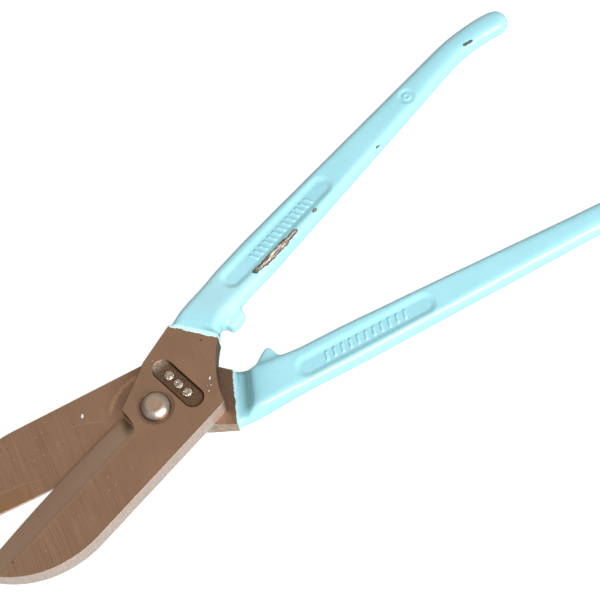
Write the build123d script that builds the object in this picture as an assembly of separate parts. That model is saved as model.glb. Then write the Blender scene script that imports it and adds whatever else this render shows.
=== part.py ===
from build123d import *
import os
from math import atan2, cos, degrees, hypot, radians, sin

# Straight-pattern forged snips, half open, lying flat. Millimetres.
# The pivot axis is Z. +X runs between the blades to their tips, +Y is the side of the upper blade.
# Z is 0 on the underside of the pivot nut. Both halves are drawn the same way up, in a half frame with
# the pivot at its origin, the blade's back on +Y and the shear face at z = 0. The lower half is then
# turned over about X, as the real forging is.

# ---- driving dimensions ----
plate_thickness = 6.35       # each blade and pivot plate
forged_proud = 0.65          # painted face stands this far above the ground face
blade_reach = 73.2           # pivot axis to blade tip, along X
edge_land = 0.9              # flat left under the cutting bevel
bevel_width = 9.0
grip_thickness = 7.2         # handle, middle
grip_end_thickness = 6.0     # handle, near its end
grip_straight = 108.0        # straight run of the handle, from its widest point
grip_end_width = 8.6
grip_bend_radius = 40.0      # where the handle's outer edge changes direction
throat_radius = 9.0          # where its inner edge does
hook_radius = 52.0           # inward curl at the handle's end
hook_turn = 24.0             # degrees
lug_thickness = 5.2
shank_radius = 3.2
pivot_clearance = 0.05       # radial, upper half on the shank
running_gap = 0.04           # between the two shear faces, and under the bolt's head
head_radius = 4.85
head_top_radius = 2.6
head_height = 2.75
spot_face_radius = 5.7
spot_face_depth = 0.25
nut_across_flats = 11.0
nut_height = 5.0
washer_radius = 5.4
washer_thickness = 1.5

shear_z = nut_height + washer_thickness + plate_thickness


class Half:
    """What differs between the two forgings, in the half frame."""

    def __init__(self, blade_offset, blade_turn, root_height, root_corner, paint_outer, paint_inner, throat,
                 grip_start, grip_slope, grip_width, rounding, lug):
        self.blade_offset = blade_offset    # the blade sits this far towards its back
        self.blade_turn = blade_turn        # and is turned this many degrees
        self.root_height = root_height      # outer face of the plate where the paint begins
        self.root_corner = root_corner      # outer corner of the pivot plate
        self.paint_outer = paint_outer      # ends of the line where the paint begins
        self.paint_inner = paint_inner
        self.throat = throat                # inner side of the handle, just before the lug
        self.grip_start = grip_start        # middle of the handle at its widest point
        self.grip_slope = grip_slope        # degrees, handle away from the bisector
        self.grip_width = grip_width
        self.rounding = rounding            # radius of the handle's long edges
        self.lug = lug                      # outline of the stop lug, from the pivot side


upper_half = Half(
    blade_offset=0.0, blade_turn=0.0, root_height=plate_thickness,
    root_corner=(-6.2, -15.1), paint_outer=(-19.6, -20.0), paint_inner=(-28.9, -6.2),
    throat=(-33.0, -10.4), grip_start=(-44.2, -21.0), grip_slope=10.65, grip_width=14.0, rounding=2.4,
    lug=[(-34.1, -10.3), (-35.1, -7.6), (-41.1, -8.8), (-41.9, -14.0)])
lower_half = Half(
    blade_offset=3.3, blade_turn=1.2, root_height=4.8,
    root_corner=(-8.0, -10.9), paint_outer=(-16.5, -18.5), paint_inner=(-26.6, -2.7),
    throat=(-32.0, -6.9), grip_start=(-44.8, -17.8), grip_slope=11.8, grip_width=13.0, rounding=2.0,
    lug=[(-33.2, -6.8), (-36.7, -5.1), (-38.9, -4.5), (-39.8, -5.2), (-40.3, -10.9)])


def across(plane, face, width):
    """Extrudes a face drawn on a plane, half the width to each side of it."""
    return extrude(plane.offset(-width / 2) * face, amount=width)


def blade_frame(half):
    """Places a point of the blade's outline in the half frame."""
    turn = radians(half.blade_turn)

    def at(x, y):
        return (x * cos(turn) - y * sin(turn), x * sin(turn) + y * cos(turn) + half.blade_offset)

    return at


def blade_face(half):
    """Plan of the blade and pivot plate, up to the paint line."""
    at = blade_frame(half)
    edge_start = at(9.0, -6.3)
    tip = at(blade_reach, 6.6)
    back_corner = at(-17.0, 12.6)
    line = [
        Line(half.paint_outer, half.root_corner),
        Line(half.root_corner, edge_start),
        ThreePointArc(edge_start, at(38.3, -2.0), tip),
        ThreePointArc(tip, at(63.6, 17.2), at(47.8, 22.9)),
        ThreePointArc(at(47.8, 22.9), at(43.2, 23.1), at(38.5, 22.6)),
        Line(at(38.5, 22.6), back_corner),
        ThreePointArc(back_corner, at(-22.0, 1.7), half.paint_inner),
        Line(half.paint_inner, half.paint_outer),
    ]
    return make_face(Wire(line))


def bevel_cut(half):
    """The ground bevel above the cutting edge, with the round run-out beside the pivot."""
    at = blade_frame(half)
    start = Vector(*at(10.4, 2.4))
    end = Vector(*at(64.3, 12.4))
    angle = degrees(atan2(end.Y - start.Y, end.X - start.X))
    drop = (plate_thickness - edge_land) / bevel_width
    reach = 2 * bevel_width
    section = Plane(origin=(start.X, start.Y, 0), x_dir=(sin(radians(angle)), -cos(radians(angle)), 0),
                    z_dir=(-cos(radians(angle)), -sin(radians(angle)), 0))
    above = 5.0
    wedge = Polyline((0, plate_thickness), (reach, plate_thickness - reach * drop),
                     (reach, plate_thickness + above), (0, plate_thickness + above), close=True)
    wedge = across(section, make_face(wedge), 180)
    wall_x = 8.5
    run_out = [
        Line((wall_x, start.Y - 2 * bevel_width), (wall_x, start.Y - 4.2)),
        ThreePointArc((wall_x, start.Y - 4.2), (wall_x + 0.7, start.Y - 1.4), (start.X + 0.6, start.Y + 0.6)),
        Line((start.X + 0.6, start.Y + 0.6), (blade_reach + 15, end.Y + 8)),
        Line((blade_reach + 15, end.Y + 8), (blade_reach + 15, start.Y - 2 * bevel_width)),
        Line((blade_reach + 15, start.Y - 2 * bevel_width), (wall_x, start.Y - 2 * bevel_width)),
    ]
    return wedge & extrude(make_face(Wire(run_out)), amount=2 * plate_thickness)


def root_plane(half):
    """Upright plane on the paint line: x runs towards the handle's end, y up."""
    outer, inner = Vector(*half.paint_outer), Vector(*half.paint_inner)
    along_line = (inner - outer).normalized()
    away = Vector(-along_line.Y, along_line.X)
    return Plane(origin=(outer + inner) / 2, x_dir=away, z_dir=away.cross(Vector(0, 0, 1)))


def root_relief(half):
    """Where the plate thins towards a handle root that is lower than the plate."""
    run = 9.0
    wedge = Polyline((-run, plate_thickness), (0, half.root_height), (1, half.root_height),
                     (1, plate_thickness + 1), (-run, plate_thickness + 1), close=True)
    return across(root_plane(half), make_face(wedge), 24)


def blade(half, bore_radius):
    body = extrude(blade_face(half), amount=plate_thickness) - bevel_cut(half)
    if half.root_height < plate_thickness:
        body -= root_relief(half)
    return body - extrude(Circle(bore_radius), amount=plate_thickness)


def size_mark():
    """Recessed cartouche in the upper plate, with three plain raised studs in it."""
    length, width, depth = 20.6, 6.5, 0.7
    stud_radius, stud_height, stud_pitch = 1.35, 0.36, 4.2
    stud = extrude(Circle(stud_radius), amount=stud_height)
    stud = fillet(stud.edges().group_by(Axis.Z)[-1], 0.2)
    place = Pos(-10.0, -2.0, plate_thickness - depth) * Rot(0, 0, 96)
    pocket = extrude(SlotOverall(length, width), amount=2 * depth)
    studs = [Pos(i * stud_pitch, 0, 0) * stud for i in (-1, 0, 1)]
    return place * (pocket - studs)


def grip_edges(half):
    """The handle's two long edges, and the round end between them."""
    slope = radians(half.grip_slope)
    out = Vector(-cos(slope), -sin(slope))
    inward = Vector(-sin(slope), cos(slope))
    start = Vector(*half.grip_start)

    def at(along, across):
        return start + out * along + inward * across

    wide_end = 14.0
    root = half.grip_width / 2
    end = grip_end_width / 2
    turn = radians(hook_turn)
    hook = Vector(grip_straight + hook_radius * sin(turn), hook_radius * (1 - cos(turn)))
    aim = (out * cos(turn) + inward * sin(turn))
    side = (inward * cos(turn) - out * sin(turn))
    tip = at(hook.X, hook.Y)
    taper = (root - end) / (grip_straight - wide_end)
    outer = FilletPolyline(half.paint_outer, at(0, -root), at(wide_end, -root), at(grip_straight, -end),
                           radius=grip_bend_radius)
    inner = FilletPolyline(at(grip_straight, end), at(wide_end, root), at(0, root), half.throat,
                           half.paint_inner, radius=throat_radius)
    curl = [
        Spline(at(grip_straight, -end), tip - side * end, tangents=[out + inward * taper, aim]),
        ThreePointArc(tip - side * end, tip + aim * end, tip + side * end),
        Spline(tip + side * end, at(grip_straight, end), tangents=[-aim, inward * taper - out]),
    ]
    return [*outer.edges(), *curl, *inner.edges(), Line(half.paint_inner, half.paint_outer)]


def grip_profile(half):
    """The handle's height along its length, square to the paint line and extruded along it."""
    middle = grip_thickness / 2
    end = grip_end_thickness / 2
    reach = 165.0
    step = Vector(2.6, half.root_height + forged_proud)
    shoulder = Vector(26.0, middle)
    ramp_top = Vector(9.0, -middle)
    ramp_foot = Vector(1.8, 0)
    top_end = Vector(reach, end)
    bottom_end = Vector(reach, -end)
    profile = [
        Line((0, 0), (0, half.root_height)),
        Spline((0, half.root_height), step, shoulder, tangents=[(1, 0.5), top_end - shoulder]),
        Line(shoulder, top_end),
        Line(top_end, bottom_end),
        Line(bottom_end, ramp_top),
        Spline(ramp_top, ramp_foot, tangents=[ramp_top - bottom_end, (-1, 0)]),
        Line(ramp_foot, (0, 0)),
    ]
    return across(root_plane(half), make_face(Wire(profile)), 200)


def long_edges(half, bar):
    """The edges that run along the handle: not the upright ones, nor those across it."""
    plane = root_plane(half)
    found = []
    for edge in bar.edges():
        first, last = plane.to_local_coords(edge @ 0), plane.to_local_coords(edge @ 1)
        upright = hypot(first.X - last.X, first.Z - last.Z) < 1e-5
        if not upright and abs(first.X - last.X) > 1e-5:
            found.append(edge)
    return found


def handle(half):
    bar = across(Plane.XY, make_face(Wire(grip_edges(half))), 40) & grip_profile(half)
    bar = fillet(long_edges(half, bar), half.rounding)
    buried = [(half.lug[-1][0] - 0.5, half.lug[-1][1] - 5), (half.lug[0][0] + 1.5, half.lug[0][1] - 5)]
    lug = across(Plane.XY, make_face(Polyline(*half.lug, *buried, close=True)), lug_thickness)
    return bar + lug


def pivot_bolt():
    head_base = plate_thickness - spot_face_depth + 2 * running_gap
    rim = head_base + 0.5
    crown = head_base + head_height
    shank = Polyline((head_top_radius, crown), (0, crown), (0, -shear_z), (shank_radius, -shear_z),
                     (shank_radius, head_base), (head_radius, head_base), (head_radius, rim))
    dome = ThreePointArc((head_radius, rim), (4.1, head_base + 1.85), (head_top_radius, crown))
    profile = [*shank.edges(), dome]
    return revolve(Plane.XZ * make_face(Wire(profile)), Axis.Z)


def lock_washer():
    ring = extrude(Circle(washer_radius) - Circle(shank_radius + 0.2), amount=washer_thickness)
    split = Pos(washer_radius - 1, 0, washer_thickness / 2) * Rot(20, 0, 0) * Box(4, 0.8, 4)
    return ring - split


def pivot_nut():
    blank = extrude(RegularPolygon(nut_across_flats / 2, 6, major_radius=False), amount=nut_height)
    crown = extrude(Circle(nut_across_flats * 0.56), amount=nut_height)
    crown = chamfer(crown.edges().group_by(Axis.Z)[0], 0.5)
    return (blank & crown) - extrude(Circle(shank_radius), amount=nut_height)


raised = Pos(0, 0, shear_z + running_gap)
turned = Pos(0, 0, shear_z) * Rot(180, 0, 0)

upper_blade = blade(upper_half, shank_radius + pivot_clearance) - size_mark()
spot_face = Pos(0, 0, plate_thickness - spot_face_depth) * extrude(Circle(spot_face_radius), amount=2)

nodes = {
    "upper_blade": raised * (upper_blade - spot_face),
    "upper_handle": raised * handle(upper_half),
    "lower_blade": turned * blade(lower_half, shank_radius),
    "lower_handle": turned * handle(lower_half),
    "pivot_bolt": Pos(0, 0, shear_z) * pivot_bolt(),
    "lock_washer": Pos(0, 0, nut_height) * lock_washer(),
    "pivot_nut": pivot_nut(),
}

os.makedirs("parts", exist_ok=True)
for name, solid in nodes.items():
    export_step(solid, f"parts/{name}.step")
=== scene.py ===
import math

import bmesh
import bpy
import numpy as np
from mathutils import Matrix, Vector, noise
from mathutils.bvhtree import BVHTree


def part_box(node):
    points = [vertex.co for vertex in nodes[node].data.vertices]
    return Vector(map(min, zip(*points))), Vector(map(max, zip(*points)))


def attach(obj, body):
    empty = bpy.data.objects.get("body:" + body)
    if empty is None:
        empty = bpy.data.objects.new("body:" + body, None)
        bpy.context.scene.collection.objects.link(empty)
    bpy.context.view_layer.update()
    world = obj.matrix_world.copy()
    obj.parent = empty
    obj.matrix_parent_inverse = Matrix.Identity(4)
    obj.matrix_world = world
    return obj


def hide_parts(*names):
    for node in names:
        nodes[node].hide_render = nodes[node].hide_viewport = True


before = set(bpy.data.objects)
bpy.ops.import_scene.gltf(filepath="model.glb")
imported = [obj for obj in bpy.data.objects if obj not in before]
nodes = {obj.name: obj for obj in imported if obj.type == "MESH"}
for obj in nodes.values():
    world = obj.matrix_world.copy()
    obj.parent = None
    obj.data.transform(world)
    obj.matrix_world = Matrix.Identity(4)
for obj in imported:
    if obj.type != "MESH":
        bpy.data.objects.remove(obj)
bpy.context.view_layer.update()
scene = bpy.context.scene
MM = 0.001             # lengths are in millimetres, except where a line says metres

# ---------------------------------------------------------------- the two halves
SHEAR_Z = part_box("lower_blade")[1].z / MM
UPPER_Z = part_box("upper_blade")[0].z / MM
PLATE_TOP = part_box("upper_blade")[1].z / MM


class Half:
    """One forging in its own frame: the back of the blade on +Y, shear face at z = 0, outer face on +Z."""

    def __init__(self, name, to_row, paint_outer, paint_inner, grip_start, grip_slope, lug, lug_rounds,
                 pool, pale, paint_line_light, film_seed):
        self.name = name
        self.body = name + "_half"
        self.to_row = to_row
        self.paint_outer = Vector(paint_outer)          # the paint line's ends
        self.paint_inner = Vector(paint_inner)
        self.grip_start = Vector(grip_start)            # on the grip's middle line
        self.grip_slope = math.radians(grip_slope)      # between that line and X
        self.lug = np.array(lug)
        self.lug_rounds = lug_rounds                    # how often the stop lug's corners are relaxed
        # the first is painted shade in the lower root's valley and also turns the root step on; the second
        # and third are painted light over the upper grip's first stretch and on the paint line's rise
        self.pool, self.pale, self.paint_line_light = pool, pale, paint_line_light    # strength of these tints in the paint
        self.film_seed = film_seed


UPPER = Half("upper", Matrix.Translation((0, 0, UPPER_Z)),
             paint_outer=(-19.6, -20.0), paint_inner=(-28.9, -6.2),
             grip_start=(-44.2, -21.0), grip_slope=10.65, lug=(-38.4, -10.0), lug_rounds=26,
             pool=0.0, pale=1.0, paint_line_light=0.9, film_seed=3.0)
LOWER = Half("lower", Matrix.Translation((0, 0, SHEAR_Z)) @ Matrix.Rotation(math.pi, 4, "X"),
             paint_outer=(-16.5, -18.5), paint_inner=(-26.6, -2.7),
             grip_start=(-44.8, -17.8), grip_slope=11.8, lug=(-37.3, -6.8), lug_rounds=8,
             pool=0.8, pale=0.0, paint_line_light=0.35, film_seed=8.0)


def smooth(x, lo, hi):
    """0 below lo, 1 above hi and a soft step between them."""
    t = np.clip((x - lo) / (hi - lo), 0, 1)
    return t * t * (3 - 2 * t)


def add_object(name, data):
    made = bpy.data.objects.new(name, data)
    scene.collection.objects.link(made)
    return made


def rgb(r, g, b):
    return (r, g, b, 1.0)


# ---------------------------------------------------------------- material nodes
class Graph:
    """A material with short calls for the nodes it needs."""

    def __init__(self, name):
        self.material = bpy.data.materials.new(name)
        self.material.use_nodes = True
        self.tree = self.material.node_tree
        self.tree.nodes.clear()
        coords = self.add("ShaderNodeTexCoord").outputs
        self.mm = self.add("ShaderNodeVectorMath", {0: coords["Object"], "Scale": 1 / MM},
                           operation="SCALE").outputs[0]
        self.normal = coords["Normal"]

    def add(self, kind, inputs=None, **settings):
        made = self.tree.nodes.new(kind)
        for key, value in settings.items():
            setattr(made, key, value)
        for key, value in (inputs or {}).items():
            if isinstance(value, bpy.types.NodeSocket):
                self.tree.links.new(value, made.inputs[key])
            else:
                made.inputs[key].default_value = value
        return made

    def math(self, operation, a, b=0.0):
        return self.add("ShaderNodeMath", {0: a, 1: b}, operation=operation).outputs[0]

    def smooth(self, value, lo, hi, out_lo=0.0, out_hi=1.0):
        """out_lo below lo, out_hi above hi and a soft step between them."""
        made = self.add("ShaderNodeMapRange", {"Value": value, "From Min": lo, "From Max": hi,
                                               "To Min": out_lo, "To Max": out_hi},
                        interpolation_type="SMOOTHSTEP")
        return made.outputs["Result"]

    def xyz(self, vector):
        return self.add("ShaderNodeSeparateXYZ", {0: vector}).outputs

    def place(self, turn, scale=(1, 1, 1)):
        """The place on the part after a turn about Z, in degrees, and a scale."""
        turned = self.add("ShaderNodeVectorRotate", {"Vector": self.mm, "Angle": -math.radians(turn)},
                          rotation_type="Z_AXIS").outputs[0]
        return self.add("ShaderNodeVectorMath", {0: turned, 1: scale}, operation="MULTIPLY").outputs[0]

    def noise(self, vector, scale=1.0, detail=2.0, roughness=0.5):
        made = self.add("ShaderNodeTexNoise", {"Vector": vector, "Scale": scale, "Detail": detail,
                                               "Roughness": roughness})
        return made.outputs["Fac"]

    def mix(self, factor, a, b):
        """Colour a where the factor is 0 and colour b where it is 1."""
        return self.add("ShaderNodeMix", {"Factor": factor, 6: a, 7: b}, data_type="RGBA").outputs[2]

    def blend(self, factor, a, b):
        """The same for two values."""
        return self.add("ShaderNodeMix", {"Factor": factor, 2: a, 3: b}, data_type="FLOAT").outputs[0]

    def bump(self, height, distance, normal=None):
        """The normal, or the one given, tilted by relief as deep as distance where height is 1."""
        inputs = {"Height": height, "Distance": distance * MM, "Strength": 1.0}
        if normal is not None:
            inputs["Normal"] = normal
        return self.add("ShaderNodeBump", inputs).outputs[0]

    def finish(self, color, roughness, metallic, normal, **constants):
        shader = self.add("ShaderNodeBsdfPrincipled", {"Base Color": color, "Roughness": roughness,
                                                       "Metallic": metallic, "Normal": normal})
        for key, value in constants.items():
            shader.inputs[key.replace("_", " ")].default_value = value
        out = self.add("ShaderNodeOutputMaterial")
        self.tree.links.new(shader.outputs[0], out.inputs[0])
        return self.material


# ---------------------------------------------------------------- steel
GROUND = rgb(0.478, 0.296, 0.194)
GROUND_CLOUD = rgb(0.436, 0.268, 0.174)
GROUND_DARK = rgb(0.335, 0.203, 0.128)
GROUND_LIGHT = rgb(0.600, 0.390, 0.265)
BEVEL = rgb(0.560, 0.392, 0.278)
SCALE_DARK = rgb(0.090, 0.052, 0.028)
SCALE_LIGHT = rgb(0.330, 0.205, 0.120)
SCRATCH = rgb(0.80, 0.60, 0.46)
PAINT_SPECK = rgb(0.50, 0.66, 0.66)
# colour of the painted shadow line along the plate's edge
EDGE_SHADOW = rgb(0.085, 0.050, 0.028)
EDGE_ROUND = 0.16      # radius at which sharp steel edges catch the light
# places in the top view
BEVEL_LINE = ((10.4, 2.4), (64.3, 12.4))             # upper border of the upper blade's bevel
NOTCH_CORNER = ((8.0, -6.6), (10.2, 1.2))            # where the bevel runs out against the plate
PLATE_EDGE = ((-6.2, -15.1), (8.2, -6.8))            # the upper plate's edge over the lower blade
CARTOUCHE = ((-9.26, -9.01), (-10.74, 5.01), 3.25)   # ends of its middle line, and half its width
CARTOUCHE_DEPTH = 0.7
MARK_PITCH, MARK_RADIUS, MARK_HEIGHT = 4.2, 1.72, 0.60
# nicks, pits and specks: start, end, half width
UPPER_NICKS = (
    ((24.6, 8.6), (25.0, 9.2), 0.12), ((24.2, 12.3), (24.6, 12.7), 0.13),
    ((26.8, 12.6), (27.3, 12.9), 0.15), ((24.9, 11.0), (24.7, 11.3), 0.09),
    ((17.3, 10.4), (17.6, 12.0), 0.06), ((52.4, 15.7), (53.4, 15.9), 0.07),
    ((31.5, 9.0), (31.9, 9.1), 0.08), ((43.0, 20.0), (43.6, 20.3), 0.07))
UPPER_PITS = (((62.4, 12.2), (62.6, 12.3), 0.17), ((-24.2, -9.2), (-24.4, -9.0), 0.22))
UPPER_SPECKS = (
    ((-18.7, 3.1), (-18.3, 3.5), 0.26), ((-17.4, 5.3), (-17.2, 5.4), 0.13),
    ((-15.7, 6.5), (-15.5, 6.7), 0.14), ((-16.4, 4.7), (-16.4, 4.8), 0.08),
    ((-8.6, -13.6), (-8.6, -13.5), 0.08))
LOWER_NICKS = (
    ((23.5, -15.8), (18.4, -13.1), 0.06), ((18.4, -13.1), (14.0, -10.1), 0.07),
    ((53.5, -12.2), (45.1, -9.6), 0.07), ((45.1, -9.6), (40.5, -7.3), 0.05),
    ((38.4, -14.1), (38.8, -13.8), 0.15), ((35.4, -13.7), (35.0, -13.4), 0.12),
    ((29.9, -11.2), (29.6, -10.8), 0.09), ((28.0, -13.2), (27.7, -12.8), 0.08),
    ((34.2, -20.4), (33.5, -20.1), 0.10), ((31.4, -20.5), (30.9, -20.2), 0.12),
    ((29.4, -14.2), (29.2, -13.6), 0.08), ((28.5, -22.4), (28.1, -22.1), 0.09),
    ((43.5, -18.6), (43.0, -18.3), 0.10), ((36.6, -17.2), (35.2, -16.2), 0.05))
PAINT_DROP = ((18.2, -16.5), (18.6, -16.0), 0.36)


def flat_place(g):
    """The place in the top view, in millimetres."""
    return g.add("ShaderNodeVectorMath", {0: g.mm, 1: (1, 1, 0)}, operation="MULTIPLY").outputs[0]


def from_pivot(g):
    """Distance in the top view from the pivot's axis."""
    return g.add("ShaderNodeVectorMath", {0: flat_place(g)}, operation="LENGTH").outputs["Value"]


def off_segment(g, a, b):
    """Distance in the top view from the segment a-b."""
    a, b = Vector(a).to_3d(), Vector(b).to_3d()
    along = b - a
    q = g.add("ShaderNodeVectorMath", {0: flat_place(g), 1: a}, operation="SUBTRACT").outputs[0]
    dot = g.add("ShaderNodeVectorMath", {0: q, 1: along / along.length_squared},
                operation="DOT_PRODUCT").outputs["Value"]
    t = g.math("MAXIMUM", g.math("MINIMUM", dot, 1.0), 0.0)
    foot = g.add("ShaderNodeVectorMath", {0: along, "Scale": t}, operation="SCALE").outputs[0]
    return g.add("ShaderNodeVectorMath", {0: q, 1: foot}, operation="DISTANCE").outputs["Value"]


def stroke(g, a, b, half_width, soft=0.08):
    """1 within a ragged half width of the segment a-b, falling to 0 just outside it."""
    wobble = g.math("MULTIPLY", g.math("SUBTRACT", g.noise(g.mm, 2.2, 4.0, 0.7), 0.5), half_width * 2.4)
    off = g.math("ADD", off_segment(g, a, b), wobble)
    return g.smooth(off, half_width - soft, half_width + soft, 1.0, 0.0)


def strokes(g, marks):
    total = 0.0
    for a, b, half_width in marks:
        total = g.math("MAXIMUM", total, stroke(g, a, b, half_width))
    return total


def box_mask(g, value, lo, hi, soft):
    """1 between lo and hi, with soft ends."""
    return g.math("MULTIPLY", g.smooth(value, lo - soft, lo + soft),
                  g.smooth(value, hi - soft, hi + soft, 1.0, 0.0))


def product(g, *values):
    total = values[0]
    for value in values[1:]:
        total = g.math("MULTIPLY", total, value)
    return total


def inverse(g, value):
    return g.math("SUBTRACT", 1.0, value)


def linear(g, x_part, y_part, constant=0.0):
    """x_part * x + y_part * y + constant, in millimetres."""
    x, y, _ = g.xyz(g.mm)
    total = g.math("ADD", g.math("MULTIPLY", x, x_part), g.math("MULTIPLY", y, y_part))
    return g.math("ADD", total, constant)


def rounded_edges(g):
    """The normal with sharp edges rounded."""
    return g.add("ShaderNodeBevel", {"Radius": EDGE_ROUND * MM}, samples=6).outputs[0]


class Steel(Graph):
    """What both plates share: belt-ground faces, trimmed sides, rounded edges."""

    def __init__(self, name, belt_angle):
        super().__init__(name)
        self.x, self.y, self.z = (self.xyz(self.mm)[i] for i in range(3))
        self.nz = self.math("ABSOLUTE", self.xyz(self.normal)[2])
        self.side = self.smooth(self.nz, 0.35, 0.6, 1.0, 0.0)
        self.flat = self.smooth(self.nz, 0.9, 0.97)
        self.grit = self.noise(self.mm, 3.5, 4.0, 0.7)
        self.ground(belt_angle)

    def ground(self, angle):
        """Belt lines at an angle from X, in degrees: close regular ones, and a few that stand out."""
        along = self.place(angle)
        fine = self.noise(self.place(angle, (0.06, 4.5, 0.06)), 1.0, 2.0, 0.55)
        coarse = self.noise(self.place(angle, (0.045, 1.3, 0.045)), 1.0, 2.0, 0.5)
        bend = self.noise(self.mm, 0.09, 2.0, 0.5)
        phase = self.math("ADD", self.math("MULTIPLY", self.xyz(along)[1], 7.4),
                          self.math("MULTIPLY", bend, 22.0))
        ripple = self.smooth(self.math("SINE", phase), -1.0, 1.0)
        cloud = self.noise(self.mm, 0.07, 3.0, 0.55)
        blotch = self.noise(self.mm, 0.5, 4.0, 0.6)
        # the lines show most towards the tip
        strength = self.math("MULTIPLY", self.smooth(self.x, 2.0, 40.0, 0.35, 1.0),
                             self.smooth(cloud, 0.3, 0.6, 0.6, 1.0))
        color = self.mix(self.smooth(cloud, 0.35, 0.65), GROUND_CLOUD, GROUND)
        dark_lines = product(self, strength, self.smooth(coarse, 0.30, 0.55, 0.55, 0.0))
        light_lines = product(self, strength, self.smooth(fine, 0.50, 0.72, 0.0, 0.5))
        color = self.mix(dark_lines, color, GROUND_DARK)
        color = self.mix(product(self, strength, ripple, 0.34), color, GROUND_DARK)
        color = self.mix(light_lines, color, GROUND_LIGHT)
        self.color = self.mix(self.smooth(blotch, 0.60, 0.8, 0.0, 0.30), color, GROUND_LIGHT)
        self.rough = self.blend(fine, 0.38, 0.50)
        lines = self.math("ADD", self.math("MULTIPLY", fine, 0.8), self.math("MULTIPLY", ripple, 0.35))
        self.height = product(self, lines, inverse(self, self.side))

    def tint(self, mask, color):
        """Lays a colour over what is there, as far as the mask is 1."""
        self.color = self.mix(mask, self.color, color)

    def sides(self, scale_color, scale_mask):
        """Upright faces: belt marks running up and down, and forging scale where the belt never was."""
        stretched = self.add("ShaderNodeVectorMath", {0: self.mm, 1: (3.6, 3.6, 0.5)}, operation="MULTIPLY")
        up_lines = self.noise(stretched.outputs[0], 1.0, 4.0, 0.7)
        trimmed = self.mix(self.smooth(up_lines, 0.3, 0.7), rgb(0.52, 0.430, 0.372), rgb(0.72, 0.620, 0.545))
        trimmed = self.mix(self.smooth(self.grit, 0.52, 0.72, 0.0, 0.5), trimmed, rgb(0.84, 0.73, 0.65))
        trimmed = self.mix(scale_mask, trimmed, scale_color)
        self.tint(self.side, trimmed)
        self.rough = self.blend(self.side, self.rough, 0.52)
        self.bumped = self.bump(self.height, 0.012, rounded_edges(self))
        self.bumped = self.bump(self.math("MULTIPLY", up_lines, self.side), 0.05, self.bumped)

    def close(self, specks, rough_places):
        """Paint specks on top, and grainy relief where the forging skin is left."""
        self.tint(specks, PAINT_SPECK)
        normal = self.bump(specks, 0.06, self.bumped)
        normal = self.bump(self.math("MULTIPLY", self.grit, rough_places), 0.12, normal)
        return self.finish(self.color, self.rough, self.math("MULTIPLY", inverse(self, specks), 0.9), normal)


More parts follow.
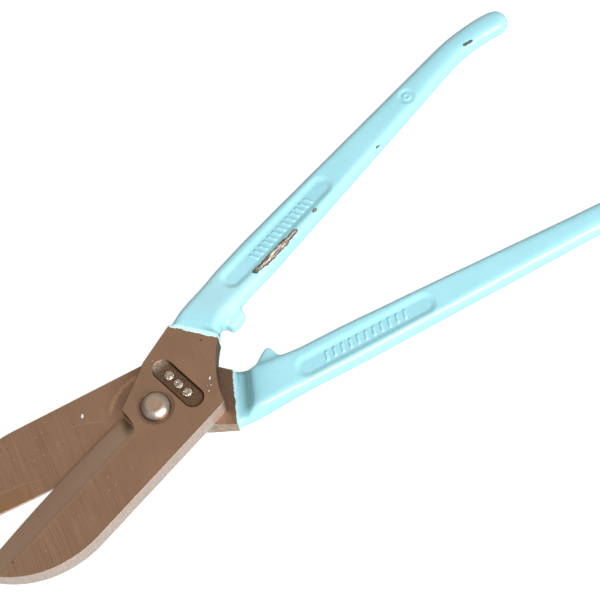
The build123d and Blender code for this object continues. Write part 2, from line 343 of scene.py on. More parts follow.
def upper_steel():
    g = Steel("ground_steel_upper", 76.0)
    # bevel above the cutting edge: finer ground, greyer, its upper border worn soft
    (ax, ay), (bx, by) = BEVEL_LINE
    run = math.hypot(bx - ax, by - ay)
    nx, ny = (ay - by) / run, (bx - ax) / run
    above = linear(g, nx, ny, -(nx * ax + ny * ay))
    uneven = g.math("ADD", above, g.math("MULTIPLY", g.noise(g.mm, 0.5, 3.0, 0.6), 1.2))
    beveled = product(g, g.smooth(g.nz, 0.6, 0.8), g.smooth(uneven, -1.6, 2.4, 1.0, 0.0),
                      g.smooth(g.x, 8.6, 9.4))
    g.tint(g.math("MULTIPLY", beveled, g.smooth(g.x, 14.0, 60.0, 0.95, 0.7)), BEVEL)
    # painted shade on the bevel's end, in the notch where the grinding wheel ran out against the plate
    notch_shade = product(g, beveled, g.smooth(off_segment(g, *NOTCH_CORNER), 0.4, 3.6, 0.95, 0.0),
                     g.smooth(g.y, -2.0, 3.0, 1.0, 0.35))
    g.tint(notch_shade, rgb(0.128, 0.066, 0.026))

    # forging scale on the unground sides near the handle, near black: real scale, darkened further as painted
    # shade for the throat side
    scale = g.mix(g.smooth(g.grit, 0.36, 0.66), rgb(0.050, 0.038, 0.030), rgb(0.180, 0.140, 0.112))
    unground = g.smooth(g.x, -15.0, -17.5)
    g.sides(scale, unground)
    # painted shade on the notch's upright wall, darkest towards -Y
    notch_wall_shade = product(g, g.smooth(g.nz, 0.6, 0.9, 1.0, 0.0), box_mask(g, g.x, 6.0, 13.6, 0.4),
                         g.smooth(g.y, 4.6, 6.0, 1.0, 0.0))
    g.tint(notch_wall_shade, g.mix(g.smooth(g.y, -7.0, 2.0), rgb(0.066, 0.034, 0.014), rgb(0.24, 0.175, 0.110)))

    # cartouche: scaly floor, a painted highlight on one end, near-black painted shade on its walls and dark
    # painted shade along its brink
    start, end, half_width = CARTOUCHE
    off = off_segment(g, start, end)
    inside = g.smooth(off, half_width - 0.05, half_width + 0.12, 1.0, 0.0)
    depth = g.math("SUBTRACT", PLATE_TOP, g.z)
    floor_part = g.math("MULTIPLY", inside, g.smooth(depth, 0.5, 0.62))
    wall = product(g, inside, g.smooth(depth, 0.03, 0.12), g.smooth(off, half_width - 0.5, half_width - 0.15),
                   g.smooth(g.y, -12.0, -8.0, 0.2, 1.0))
    g.tint(floor_part, g.mix(g.smooth(g.grit, 0.38, 0.66), SCALE_DARK, SCALE_LIGHT))
    # painted highlight, speckled, on the -Y end of the floor and walls
    lit_end_highlight = product(g, g.math("MAXIMUM", floor_part, wall), g.smooth(g.y, -8.8, -11.2),
                         g.smooth(g.grit, 0.44, 0.56))
    g.tint(lit_end_highlight, rgb(0.56, 0.48, 0.41))
    # painted shade on the walls, weaker towards the -Y end
    g.tint(wall, rgb(0.040, 0.023, 0.012))
    # painted shade along the brink, none at the -Y end
    brink = product(g, g.smooth(off, half_width - 0.50, half_width - 0.12),
                    g.smooth(off, half_width + 0.10, half_width + 0.28, 1.0, 0.0), g.smooth(g.y, -12.0, -8.0))
    g.tint(brink, rgb(0.060, 0.030, 0.014))
    g.rough = g.blend(g.math("MAXIMUM", floor_part, wall), g.rough, 0.55)

    top = g.math("MULTIPLY", g.flat, g.smooth(depth, 0.02, 0.1, 1.0, 0.0))
    g.tint(product(g, strokes(g, UPPER_NICKS), top, 0.6), SCRATCH)
    g.tint(g.math("MULTIPLY", strokes(g, UPPER_PITS), top), SCALE_DARK)
    # a painted shadow line along the upper plate's edge over the lower blade
    g.tint(product(g, stroke(g, *PLATE_EDGE, 0.20), top, 0.9), EDGE_SHADOW)
    # painted contact shade round the bolt's head
    bolt_contact_shade = g.math("MULTIPLY", g.smooth(from_pivot(g), 5.2, 6.4, 0.35, 0.0), g.flat)
    g.tint(bolt_contact_shade, rgb(0.16, 0.11, 0.075))
    specks = g.math("MULTIPLY", top, strokes(g, UPPER_SPECKS))
    return g.close(specks, g.math("MAXIMUM", g.math("MULTIPLY", g.side, unground), floor_part))


def lower_steel():
    g = Steel("ground_steel_lower", 75.0)
    sloped = product(g, g.smooth(g.nz, 0.6, 0.8), g.smooth(g.nz, 0.9, 0.985, 1.0, 0.0))
    g.tint(g.math("MULTIPLY", sloped, 0.85), BEVEL)
    scale = g.mix(g.smooth(g.grit, 0.38, 0.62), rgb(0.15, 0.105, 0.068), rgb(0.86, 0.69, 0.52))
    unground = g.smooth(g.x, -8.0, -11.0)
    g.sides(scale, unground)

    top = g.math("MULTIPLY", g.flat, g.smooth(g.z, SHEAR_Z - 2.0, SHEAR_Z - 1.9))
    r = from_pivot(g)
    around = g.math("ARCTAN2", g.y, g.x)
    # ring rubbed by the corner of the other half
    polar = g.add("ShaderNodeCombineXYZ", {0: g.math("MULTIPLY", around, 26.0),
                                           1: g.math("MULTIPLY", r, 0.5)}).outputs[0]
    streaks = g.smooth(g.noise(polar, 1.0, 3.0, 0.6), 0.34, 0.56)
    rub = product(g, box_mask(g, r, 15.2, 16.4, 0.5), streaks,
                  box_mask(g, around, math.radians(-106), math.radians(-46), 0.15), top)
    g.tint(g.math("MULTIPLY", rub, 0.9), rgb(0.74, 0.46, 0.270))
    # rust near the tip's cutting edge
    rust = product(g, g.smooth(g.x, 38.0, 52.0), g.smooth(g.y, -12.5, -8.5), top)
    g.tint(g.math("MULTIPLY", rust, 0.45), rgb(0.46, 0.25, 0.115))
    g.tint(product(g, strokes(g, LOWER_NICKS), top, 0.5), SCRATCH)
    # unground forging skin beside the paint
    toward_paint = g.math("ADD", linear(g, -0.843, 0.538), g.math("MULTIPLY", g.grit, 2.0))
    skin = g.math("MULTIPLY", top, g.smooth(toward_paint, 13.5, 17.0))
    skin_color = g.mix(g.smooth(g.grit, 0.4, 0.66), rgb(0.150, 0.088, 0.056), rgb(0.44, 0.285, 0.195))
    g.tint(g.math("MULTIPLY", skin, 0.9), skin_color)
    specks = g.math("MULTIPLY", g.smooth(g.noise(g.mm, 1.5, 1.0, 0.5), 0.79, 0.81), skin)
    specks = g.math("MULTIPLY", g.math("MAXIMUM", specks, stroke(g, *PAINT_DROP)), top)
    return g.close(specks, g.math("MAXIMUM", g.math("MULTIPLY", g.side, unground), skin))


def turned_steel():
    """The bolt: a turned dome with a flat, lightly scored end."""
    g = Graph("turned_bolt_steel")
    z = g.xyz(g.mm)[2]
    nz = g.xyz(g.normal)[2]
    scored = g.noise(g.place(20.0, (0.25, 4.5, 0.25)), 1.0, 3.0, 0.6)
    upward = g.add("ShaderNodeCombineXYZ", {0: g.math("MULTIPLY", z, 9.0)}).outputs[0]
    rings = g.noise(upward, 1.0, 2.0, 0.6)
    stain = g.noise(g.mm, 0.8, 4.0, 0.6)
    flat = g.smooth(nz, 0.86, 0.99)
    end = g.mix(g.smooth(scored, 0.35, 0.7), rgb(0.68, 0.51, 0.39), rgb(0.95, 0.75, 0.59))
    dome = g.mix(g.smooth(stain, 0.3, 0.7), rgb(0.50, 0.43, 0.37), rgb(0.63, 0.56, 0.49))
    # painted shade on one side of the dome, patchy
    shaded_side = g.smooth(linear(g, 0.73, -0.68), 1.2, 4.2, 0.0, 0.8)
    shaded_side = g.math("MULTIPLY", shaded_side, g.smooth(stain, 0.2, 0.6, 0.7, 1.0))
    dome = g.mix(shaded_side, dome, rgb(0.16, 0.105, 0.070))
    # painted shade on the dome's steep rim
    dome = g.mix(g.smooth(nz, 0.15, 0.78, 0.85, 0.0), dome, rgb(0.12, 0.095, 0.072))
    color = g.mix(flat, dome, end)
    rough = g.blend(flat, g.smooth(stain, 0.3, 0.7, 0.32, 0.40), g.blend(scored, 0.32, 0.44))
    grooves = g.math("ADD", g.math("MULTIPLY", scored, flat), product(g, rings, inverse(g, flat), 0.15))
    return g.finish(color, rough, 1.0, g.bump(grooves, 0.010))


def dark_steel(name, lo, hi, roughness):
    """Blackened hardware with patches of rust. The colours are lo in some patches and hi in others."""
    g = Graph(name)
    patch = g.noise(g.mm, 0.35, 5.0, 0.65)
    grain = g.noise(g.mm, 4.0, 3.0, 0.6)
    rust = g.smooth(g.noise(g.mm, 0.9, 5.0, 0.7), 0.58, 0.72, 0.0, 0.6)
    color = g.mix(g.smooth(patch, 0.35, 0.65), lo, hi)
    color = g.mix(rust, color, rgb(0.20, 0.095, 0.045))
    rough = g.blend(grain, roughness, roughness + 0.2)
    return g.finish(color, rough, 0.85, g.bump(grain, 0.03, rounded_edges(g)))


looks = {
    "upper_blade": upper_steel(),
    "lower_blade": lower_steel(),
    "pivot_bolt": turned_steel(),
    "lock_washer": dark_steel("spring_steel", rgb(0.10, 0.095, 0.09), rgb(0.20, 0.185, 0.17), 0.38),
    "pivot_nut": dark_steel("blackened_nut", rgb(0.13, 0.12, 0.11), rgb(0.27, 0.245, 0.22), 0.35),
}
for node_name, look in looks.items():
    mesh = nodes[node_name].data
    mesh.materials.clear()
    mesh.materials.append(look)


def worn_marks():
    """Dark forging skin, rubbed bright on top."""
    g = Graph("worn_marks")
    z = g.xyz(g.mm)[2]
    patch = g.noise(g.mm, 2.6, 4.0, 0.65)
    rubbed = g.math("MULTIPLY", g.smooth(z, PLATE_TOP - 0.50, PLATE_TOP - 0.22), g.smooth(patch, 0.40, 0.52))
    color = g.mix(rubbed, rgb(0.110, 0.070, 0.045), rgb(0.90, 0.78, 0.66))
    return g.finish(color, g.blend(rubbed, 0.5, 0.24), 0.95, g.bump(patch, 0.22))


def raised_marks():
    """The three raised marks in the cartouche: forged lumps with dents."""
    start, end, _ = CARTOUCHE
    axis = (Vector(end) - Vector(start)).normalized()
    middle = (Vector(start) + Vector(end)) / 2
    bm = bmesh.new()
    for i in (-1, 0, 1):
        lump = bmesh.ops.create_uvsphere(bm, u_segments=48, v_segments=32, radius=1.0)["verts"]
        centre = middle + axis * MARK_PITCH * i
        for v in lump:
            r = math.hypot(v.co.x, v.co.y)
            rise = math.copysign((1 - min(r, 1.0) ** 4) ** 0.5 * MARK_HEIGHT, v.co.z)
            out = MARK_RADIUS * (1 + 0.10 * noise.noise(Vector((v.co.x * 1.6, v.co.y * 1.6, 4.0 * i))))
            place = Vector((centre.x + v.co.x * out, centre.y + v.co.y * out, 0))
            if rise > 0:
                dent = math.hypot(v.co.x - 0.12 * i, v.co.y + 0.10)
                rise *= 1 - 0.30 * math.exp(-(dent / 0.34) ** 2)
                rise += 0.035 * noise.noise(place * 1.9)
            # their tops stay just below the plate, and their undersides just inside it
            place.z = PLATE_TOP - CARTOUCHE_DEPTH + max(min(rise, CARTOUCHE_DEPTH - 0.06), -0.2)
            v.co = place
    for v in bm.verts:
        v.co *= MM
    mesh = bpy.data.meshes.new("size_mark_studs")
    bm.to_mesh(mesh)
    bm.free()
    mesh.shade_smooth()
    mesh.materials.append(worn_marks())
    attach(add_object("size_mark_studs", mesh), UPPER.body)


raised_marks()


# ---------------------------------------------------------------- camera, floor, light
CAMERA_TARGET = Vector((-57.60, -2.40, 12.85))
CAMERA_DISTANCE = 625.3
CAMERA_LENS, SENSOR = 118.95, 36.0
FLOOR_HALF = 3000.0
FLOOR_DROP = 0.02      # the floor's clearance under the part

back = Vector((0.2064, 0.4387, 0.8746)).normalized()
right = Vector((-0.7776, 0.6161, -0.1255)).normalized()
up = back.cross(right).normalized()
right = up.cross(back).normalized()
camera_data = bpy.data.cameras.new("camera")
camera_data.lens = CAMERA_LENS
camera_data.sensor_width = SENSOR
camera_data.clip_start = 0.01      # metres
camera_data.clip_end = 20
camera = add_object("camera", camera_data)
camera.matrix_world = (Matrix.Translation((CAMERA_TARGET + back * CAMERA_DISTANCE) * MM)
                       @ Matrix((right, up, back)).transposed().to_4x4())
scene.camera = camera
scene.view_settings.view_transform = "Standard"

floor_mesh = bpy.data.meshes.new("floor")
corners = [(x * FLOOR_HALF * MM, y * FLOOR_HALF * MM, 0) for x, y in ((-1, -1), (1, -1), (1, 1), (-1, 1))]
floor_mesh.from_pydata(corners, [], [(0, 1, 2, 3)])
floor = add_object("floor", floor_mesh)
floor.location.z = -FLOOR_DROP * MM
floor_look = bpy.data.materials.new("floor_white")
floor_look.use_nodes = True
floor_shader = floor_look.node_tree.nodes["Principled BSDF"]
floor_shader.inputs["Base Color"].default_value = rgb(0.16, 0.16, 0.16)
floor_shader.inputs["Roughness"].default_value = 1.0
floor_shader.inputs["Specular IOR Level"].default_value = 0.0
floor_shader.inputs["Emission Color"].default_value = rgb(1.0, 1.0, 1.0)
# the floor looks nearly white, but throws less light than that back at the part
seen = floor_look.node_tree.nodes.new("ShaderNodeLightPath").outputs["Is Camera Ray"]
glow = floor_look.node_tree.nodes.new("ShaderNodeMapRange")
glow.inputs["To Min"].default_value = 0.50
glow.inputs["To Max"].default_value = 0.95
floor_look.node_tree.links.new(seen, glow.inputs["Value"])
floor_look.node_tree.links.new(glow.outputs["Result"], floor_shader.inputs["Emission Strength"])
floor_mesh.materials.append(floor_look)

# one soft box that looks at the part, its azimuth from +X towards +Y
KEY_AZIMUTH, KEY_ELEVATION = math.radians(91), math.radians(40)
KEY_AIM = Vector((-0.05, 0, 0.01))               # metres, as are the next two
KEY_AWAY = 1.5
KEY_SIZE = (1.1, 0.8)
KEY_WATTS = 40
toward_key = Vector((math.cos(KEY_AZIMUTH) * math.cos(KEY_ELEVATION),
                     math.sin(KEY_AZIMUTH) * math.cos(KEY_ELEVATION), math.sin(KEY_ELEVATION)))
key_data = bpy.data.lights.new("key", "AREA")
key_data.shape = "RECTANGLE"
key_data.size, key_data.size_y = KEY_SIZE
key_data.energy = KEY_WATTS
key = add_object("key", key_data)
key.location = KEY_AIM + toward_key * KEY_AWAY
key.rotation_mode = "QUATERNION"
key.rotation_quaternion = toward_key.to_track_quat("Z", "Y")

# an even grey studio, a little warmer round one direction
WARM_DIRECTION = Vector((-0.25, -0.55, 0.80)).normalized()
world = bpy.data.worlds.new("studio")
scene.world = world
world.use_nodes = True
sky = world.node_tree
toward = sky.nodes.new("ShaderNodeVectorMath")
toward.operation = "DOT_PRODUCT"
sky.links.new(sky.nodes.new("ShaderNodeTexCoord").outputs["Generated"], toward.inputs[0])
toward.inputs[1].default_value = WARM_DIRECTION
fade = sky.nodes.new("ShaderNodeMapRange")
fade.interpolation_type = "SMOOTHSTEP"
fade.inputs["From Min"].default_value = 0.35
fade.inputs["From Max"].default_value = 0.95
sky.links.new(toward.outputs["Value"], fade.inputs["Value"])
tone = sky.nodes.new("ShaderNodeMix")
tone.data_type = "RGBA"
tone.inputs[6].default_value = rgb(0.42, 0.42, 0.42)
tone.inputs[7].default_value = rgb(0.40, 0.36, 0.32)
sky.links.new(fade.outputs["Result"], tone.inputs["Factor"])
sky.links.new(tone.outputs[2], sky.nodes["Background"].inputs["Color"])

# ---------------------------------------------------------------- painted handles
VOXEL = 0.36
FILM = 0.06            # paint over ground steel, outer faces
SHEAR_FILM = 0.02      # the same on the shear face, inside the running gap
DIVE = 0.4             # how deep the mesh lies under the steel beyond the paint's edge
SKIRT = 3.2            # how far the handle's mesh reaches under the blade's surface
END_SWELL = 0.16       # what fettling left on the thin end
ROOT_STEP = (0.45, 5.5, 2.0)       # extra height near the lower half's paint line, where, how wide
FLASH_HEIGHT = 0.09
SLOT_DEPTH, SLOT_HALF, SLOT_WALL = 0.62, 3.05, 1.25
RIB_HEIGHT = 0.36
RIB_SLANT = math.tan(math.radians(14))
# along and across the grip: ends of the slot, how many ribs, where the first and the last are, their offset
OUTER_SLOT = ((1.3, -0.1), (44.2, 0.35), 13, 10.2, 36.5, 0.15)
INNER_SLOT = ((-0.4, -1.15), (41.0, -0.35), 11, 7.0, 34.6, 0.15)
SLOT_REGION = ((0, -0.5), (45, 0))               # middle line that takes in both slots
DIMPLE = np.array((87.4, 0.6))
CHIPS = {
    # in the half's frame: start and end of the bare patch, its half width
    "upper": [((-52.6, -18.4, 3.6), (-57.0, -18.6, 3.5), 0.95),
              ((-57.0, -18.7, 3.5), (-66.5, -20.4, 3.4), 1.16),
              ((-66.5, -20.4, 3.4), (-71.2, -21.3, 3.4), 0.78),
              ((-50.9, -17.1, 3.6), (-53.2, -17.5, 3.6), 0.18),
              ((-80.3, -23.0, 3.4), (-81.0, -23.2, 3.4), 0.55),
              ((-110.8, -28.4, 2.4), (-112.0, -28.3, 2.3), 0.40),
              ((-157.5, -39.2, 3.1), (-160.4, -38.9, 3.0), 0.50),
              ((-29.7, -8.6, 5.4), (-30.0, -7.0, 4.6), 0.40)],
    "lower": [((-41.0, -7.4, -2.0), (-42.2, -7.9, -2.3), 0.3),
              ((-96.0, -35.5, 2.4), (-99.5, -36.2, 2.6), 0.5),
              ((-150.5, -44.6, 1.5), (-153.0, -44.9, 1.0), 0.4)],
}


def root_axes(half):
    """Middle of the paint line, the direction away from the blade and the direction along the line."""
    along = (half.paint_inner - half.paint_outer).normalized()
    return (half.paint_outer + half.paint_inner) / 2, Vector((-along.y, along.x)), along


def cad_copy(half, node):
    """A bmesh of a CAD node in the half's own frame, in millimetres."""
    mesh = nodes[node].data.copy()
    mesh.transform(half.to_row.inverted() @ Matrix.Scale(1 / MM, 4))
    bm = bmesh.new()
    bm.from_mesh(mesh)
    bpy.data.meshes.remove(mesh)
    bmesh.ops.remove_doubles(bm, verts=bm.verts, dist=0.002)
    return bm


def blade_stub(half):
    """The end of the blade's own solid next to the paint line, closed, reaching a little into the handle."""
    middle, away, _ = root_axes(half)
    away3 = Vector((away.x, away.y, 0))
    bm = cad_copy(half, half.name + "_blade")
    bmesh.ops.bisect_plane(bm, geom=bm.verts[:] + bm.edges[:] + bm.faces[:], dist=0.0001,
                           plane_co=Vector((middle.x, middle.y, 0)) - away3 * SKIRT, plane_no=away3,
                           clear_inner=True)
    bmesh.ops.holes_fill(bm, edges=[e for e in bm.edges if e.is_boundary], sides=0)
    for v in bm.verts:
        if (v.co.xy - middle).dot(away) > -0.01:
            v.co += away3 * 0.5
    return bm


def per_vertex(mesh, field):
    """A row of three numbers for each vertex."""
    values = np.empty(len(mesh.vertices) * 3)
    mesh.vertices.foreach_get(field, values)
    return values.reshape(-1, 3)


def points_of(mesh):
    return per_vertex(mesh, "co")


def normals_of(mesh):
    return per_vertex(mesh, "normal")


def put_points(mesh, points):
    mesh.vertices.foreach_set("co", points.ravel())
    mesh.update()


def relax(mesh, weights, rounds):
    """Moves each point towards the middle of its neighbours, by its weight."""
    co = points_of(mesh)
    ends = np.empty(len(mesh.edges) * 2, int)
    mesh.edges.foreach_get("vertices", ends)
    ends = ends.reshape(-1, 2)
    count = np.bincount(ends.ravel(), minlength=len(co))[:, None]
    near, far = ends.T.ravel(), ends[:, ::-1].T.ravel()
    for _ in range(rounds):
        total = np.stack([np.bincount(near, co[far, axis], len(co)) for axis in range(3)], 1)
        co += (total / np.maximum(count, 1) - co) * weights[:, None]
    put_points(mesh, co)


def remeshed(bm):
    """An even mesh of the solids in bm, joined into one skin."""
    mesh = bpy.data.meshes.new("source")
    bm.to_mesh(mesh)
    holder = add_object("source", mesh)
    modifier = holder.modifiers.new("remesh", "REMESH")
    modifier.mode = "VOXEL"
    modifier.voxel_size = VOXEL
    result = bpy.data.meshes.new_from_object(holder.evaluated_get(bpy.context.evaluated_depsgraph_get()))
    bpy.data.objects.remove(holder)
    return result


def segment_distance(p, a, b):
    """Distance of each point from the segment a-b."""
    a, b = np.array(a, float), np.array(b, float)
    d = b - a
    t = np.clip((p - a) @ d / (d @ d), 0, 1)
    return np.linalg.norm(p - a - t[:, None] * d, axis=1)


def slot_relief(p, start, end, ribs, rib_from, rib_to, rib_side):
    """Height of a forged cartouche with slanted ribs on its floor. p is along and across the handle."""
    distance = segment_distance(p, start, end)
    height = -SLOT_DEPTH * (1 - smooth(distance, SLOT_HALF - SLOT_WALL, SLOT_HALF + SLOT_WALL))
    direction = np.array(end, float) - np.array(start, float)
    direction /= np.linalg.norm(direction)
    across = np.array((-direction[1], direction[0]))
    q = p - np.array(start, float)
    along, side = q @ direction, q @ across - rib_side
    long_way = 1 - smooth(np.abs(side), 1.25, 1.75)
    for rib in np.linspace(rib_from, rib_to, ribs):
        off = along - rib - side * RIB_SLANT
        short_way = 1 - smooth(np.abs(off), 0.28, 0.62)
        height += RIB_HEIGHT * long_way * short_way
    return height


def dimple_relief(p, centre):
    """A round recess with a raised ring in it."""
    r = np.linalg.norm(p - centre, axis=1)
    return -0.38 * (1 - smooth(r, 1.9, 3.3)) + 0.26 * smooth(r, 0.5, 0.9) * (1 - smooth(r, 1.1, 1.5))


def forging_noise(co, seed, scale):
    """Seeded noise at each point, the same on every run."""
    return np.array([noise.noise(Vector(p) * scale + Vector((seed, seed * 1.7, 0))) for p in co])


def painted_handle(half):
    """The painted end of a forging, which takes the place of its CAD handle."""
    middle, away, along_line = root_axes(half)
    joined = bmesh.new()
    for part in (cad_copy(half, half.name + "_handle"), blade_stub(half)):
        part_mesh = bpy.data.meshes.new("part")
        part.to_mesh(part_mesh)
        part.free()
        joined.from_mesh(part_mesh)
        bpy.data.meshes.remove(part_mesh)
    # the grip lies along X while it is remeshed, so that its long edges come out straight
    align = Matrix.Rotation(-half.grip_slope, 4, "Z")
    bmesh.ops.transform(joined, matrix=align, verts=joined.verts)
    surface = BVHTree.FromBMesh(joined)
    mesh = remeshed(joined)
    joined.free()
    put_points(mesh, np.array([surface.find_nearest(Vector(p))[0] for p in points_of(mesh)]))
    mesh.transform(align.inverted())

    def root_distance(points):
        return (points[:, :2] - np.array(middle)) @ np.array(away)

    # soft forging corners: everywhere, at the root, along the first stretch and at the stop lug
    s = root_distance(points_of(mesh))
    relax(mesh, np.full(len(s), 0.5), 2)
    relax(mesh, 0.5 * smooth(s, 0.2, 0.9) * (1 - smooth(s, 3.0, 6.0)), 14)
    relax(mesh, 0.5 * smooth(s, 5.0, 9.0) * (1 - smooth(s, 24.0, 40.0)), 16)
    from_lug = np.linalg.norm(points_of(mesh)[:, :2] - half.lug, axis=1)
    relax(mesh, 0.5 * (1 - smooth(from_lug, 5.0, 8.0)), half.lug_rounds)

    # the thin end was fettled round
    towards_end = smooth(s, 60.0, 120.0)
    relax(mesh, 0.5 * towards_end, 70)
    put_points(mesh, points_of(mesh) + normals_of(mesh) * (END_SWELL * towards_end)[:, None])

    slope = half.grip_slope
    out = np.array((-math.cos(slope), -math.sin(slope)))
    inward = np.array((-math.sin(slope), math.cos(slope)))

    def grip_place(points):
        """Along and across the grip."""
        q = points[:, :2] - np.array(half.grip_start)
        return np.stack((q @ out, q @ inward), 1)

    # finer mesh where there is small relief
    bm = bmesh.new()
    bm.from_mesh(mesh)
    co = points_of(mesh)
    place = grip_place(co)
    s = root_distance(co)
    slots = segment_distance(place, *SLOT_REGION) < SLOT_HALF + SLOT_WALL + 1.6
    dimple = np.linalg.norm(place - DIMPLE, axis=1) < 4.0
    fine = ((slots | dimple) & (np.abs(co[:, 2]) > 2.0)) | ((s < 1.2) & (s > -2.2))
    bm.verts.ensure_lookup_table()
    chosen = [e for e in bm.edges if fine[e.verts[0].index] and fine[e.verts[1].index]]
    bmesh.ops.subdivide_edges(bm, edges=chosen, cuts=1, use_grid_fill=True)
    bm.to_mesh(mesh)
    bm.free()
    mesh.update()

    co, normals = points_of(mesh), normals_of(mesh)
    place = grip_place(co)
    s = root_distance(co)
    w = (co[:, :2] - np.array(middle)) @ np.array(along_line)
    outer = smooth(normals[:, 2], 0.5, 0.8)
    inner = smooth(-normals[:, 2], 0.5, 0.8)
    grip = smooth(s, 8.0, 10.0)
    height = grip * outer * (slot_relief(place, *OUTER_SLOT) + dimple_relief(place, DIMPLE))
    height += grip * inner * slot_relief(place, *INNER_SLOT)
    height += grip * 0.055 * forging_noise(co, half.film_seed, 0.11)
    height += grip * 0.02 * forging_noise(co, half.film_seed + 5, 0.45)
    step, step_at, step_width = ROOT_STEP
    # this half's root valley shade strength, 0 on the upper half, also turns this step on
    height += step * half.pool * inner * np.exp(-((s - step_at) / step_width) ** 2)
    # the trimmed flash line round the sides
    upright = 1 - smooth(np.abs(normals[:, 2]), 0.15, 0.45)
    height += FLASH_HEIGHT * upright * grip * (1 - smooth(np.abs(co[:, 2]), 0.35, 0.75))

    # the paint's own edge on the steel: a thin film that dives under the surface beyond a ragged line
    edge = -0.35
    for size, turn, seed, rise in ((0.45, 0.32, 0, 0.15), (0.22, 1.1, 9, 0.6)):
        edge = edge + size * np.array([noise.noise(Vector((p * turn, half.film_seed + seed, z * rise)))
                                       for p, z in zip(w, co[:, 2])])
    on_film = smooth(s, edge - 0.10, edge + 0.12)
    shear_face = smooth(-normals[:, 2], 0.4, 0.7) * (1 - smooth(np.abs(co[:, 2]), 0.3, 0.6))
    film = FILM + (SHEAR_FILM - FILM) * shear_face
    near_root = 1 - smooth(s, 0.8, 2.0)
    height += near_root * (on_film * film - (1 - on_film) * DIVE)
    co = co + normals * height[:, None]
    put_points(mesh, co)

    # how far a much relaxed copy moves: out in hollows, in on edges
    normals = normals_of(mesh)
    relax(mesh, np.full(len(co), 0.5), 40)
    fold = ((points_of(mesh) - co) * normals).sum(1)
    put_points(mesh, co)

    facing = smooth(np.abs(normals[:, 2]), 0.3, 0.7)
    # painted shade: a dark band along the lower half's root valley, and in both halves a crevice at the paint
    # line's inner end
    pool = (0.60 * smooth(s, 0.2, 0.9) + 0.25 * smooth(s, 1.4, 3.0) - 0.40 * smooth(s, 3.4, 5.4)
            - 0.45 * smooth(s, 6.0, 17.0))
    pool = facing * pool * half.pool
    pool = np.maximum(pool, facing * smooth(w, 0.5, 6.5) * smooth(s, 0.9, 1.4) * (1 - smooth(s, 1.6, 2.8)))

    chip = np.full(len(co), -3.0)
    for start, end, half_width in CHIPS[half.name]:
        chip = np.maximum(chip, half_width - segment_distance(co, start, end))
    fields = {
        "chip": chip,
        "hollow": np.clip(-height, 0, 1),
        "fold": fold,
        "paint_line_light": half.paint_line_light * (1 - smooth(s, 0.5, 1.5)),
        "pool": pool,
        "pale": half.pale * smooth(s, 3.0, 12.0) * (1 - smooth(s, 14.0, 38.0)),
    }
    for name, values in fields.items():
        attribute = mesh.attributes.new(name, "FLOAT", "POINT")
        attribute.data.foreach_set("value", values.astype(np.float32))
    mesh.transform(Matrix.Scale(MM, 4) @ half.to_row)
    mesh.shade_smooth()
    mesh.name = half.name + "_handle_painted"
    piece = add_object(mesh.name, mesh)
    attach(piece, half.body)
    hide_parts(half.name + "_handle")
    return piece


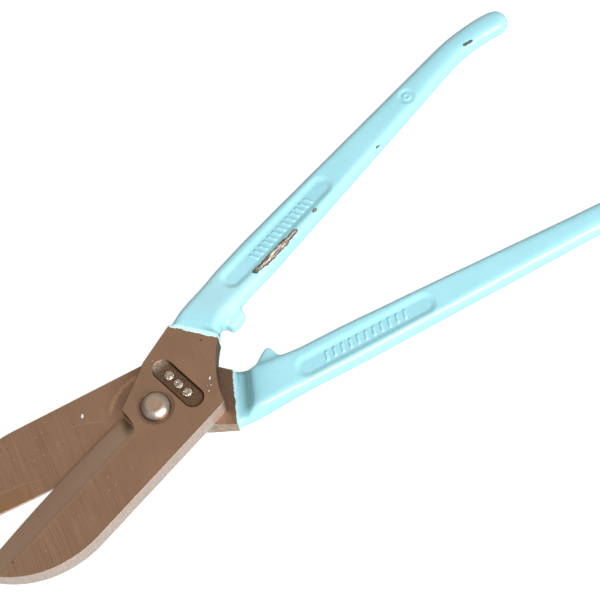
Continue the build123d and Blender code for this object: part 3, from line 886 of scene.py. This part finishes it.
def paint_material():
    """Light blue enamel: darker in hollows and paler on edges, from paint that pools and thins and from
    painted shade and highlight; painted shade in the root valley and painted light on the paint line and the
    upper root; chipped down to bare forging.
    """
    g = Graph("handle_paint")
    chip, hollow, fold, paint_line_light, pool, pale = (
        g.add("ShaderNodeAttribute", attribute_name=name).outputs["Fac"]
        for name in ("chip", "hollow", "fold", "paint_line_light", "pool", "pale"))
    tear = g.math("SUBTRACT", g.noise(g.mm, 0.9, 5.0, 0.65), 0.5)
    speck = g.math("SUBTRACT", g.noise(g.mm, 3.2, 3.0, 0.7), 0.5)
    field = g.math("ADD", chip, g.math("ADD", g.math("MULTIPLY", tear, 1.1), g.math("MULTIPLY", speck, 0.55)))
    bare = g.smooth(field, 0.0, 0.05)
    rim = g.math("SUBTRACT", g.smooth(field, -0.12, 0.0), bare)
    cloud = g.noise(g.mm, 0.06, 3.0)
    mottle = g.noise(g.mm, 0.55, 4.0, 0.6)
    color = g.mix(cloud, rgb(0.275, 0.565, 0.640), rgb(0.315, 0.615, 0.690))
    color = g.mix(g.smooth(mottle, 0.55, 0.75, 0.0, 0.18), color, rgb(0.42, 0.72, 0.78))
    # darker in the recessed relief: grime there, and painted shade
    color = g.mix(g.smooth(hollow, 0.1, 0.9, 0.0, 0.30), color, rgb(0.16, 0.42, 0.50))
    # darker in hollows and paler on edges: paint that pools and thins, and painted shade and painted
    # highlight
    color = g.mix(g.smooth(fold, 0.02, 0.36, 0.0, 0.55), color, rgb(0.125, 0.330, 0.375))
    color = g.mix(g.smooth(fold, -0.06, -0.42, 0.0, 0.45), color, rgb(0.50, 0.80, 0.86))
    # painted light over the upper grip's first stretch
    color = g.mix(g.math("MULTIPLY", pale, 0.75), color, rgb(0.395, 0.690, 0.765))
    # painted shade in the root valley
    color = g.mix(g.math("MULTIPLY", pool, 0.80), color, rgb(0.135, 0.330, 0.365))
    # painted light along the paint line's rise
    color = g.mix(g.math("MULTIPLY", paint_line_light, g.smooth(mottle, 0.3, 0.6, 0.4, 0.8)), color, rgb(0.56, 0.80, 0.83))
    dirt = g.smooth(g.noise(g.mm, 0.9, 3.0, 0.6), 0.735, 0.755)
    color = g.mix(g.math("MULTIPLY", dirt, g.blend(pale, 0.35, 0.8)), color, rgb(0.16, 0.26, 0.27))
    color = g.mix(g.math("MULTIPLY", rim, 0.7), color, rgb(0.10, 0.16, 0.16))
    along = g.noise(g.place(193.0, (0.42, 3.4, 2.4)), 1.0, 5.0, 0.68)
    steel = g.mix(g.smooth(along, 0.38, 0.52), rgb(0.040, 0.030, 0.022), rgb(0.34, 0.255, 0.185))
    steel = g.mix(g.smooth(along, 0.53, 0.60), steel, rgb(0.90, 0.85, 0.74))
    steel = g.mix(g.smooth(field, 0.10, 0.58, 0.97, 0.0), steel, rgb(0.024, 0.018, 0.013))
    color = g.mix(bare, color, steel)
    rough = g.blend(bare, g.blend(g.noise(g.mm, 0.8, 3.0), 0.28, 0.42), 0.6)
    peel = g.noise(g.mm, 1.3, 2.0, 0.5)
    normal = g.bump(peel, 0.035)
    normal = g.bump(inverse(g, bare), 0.10, normal)
    normal = g.bump(g.math("MULTIPLY", bare, along), 0.14, normal)
    return g.finish(color, rough, g.math("MULTIPLY", bare, 0.25), normal,
                    Coat_Weight=0.3, Coat_Roughness=0.16)


paint_look = paint_material()
for half in (UPPER, LOWER):
    painted_handle(half).data.materials.append(paint_look)
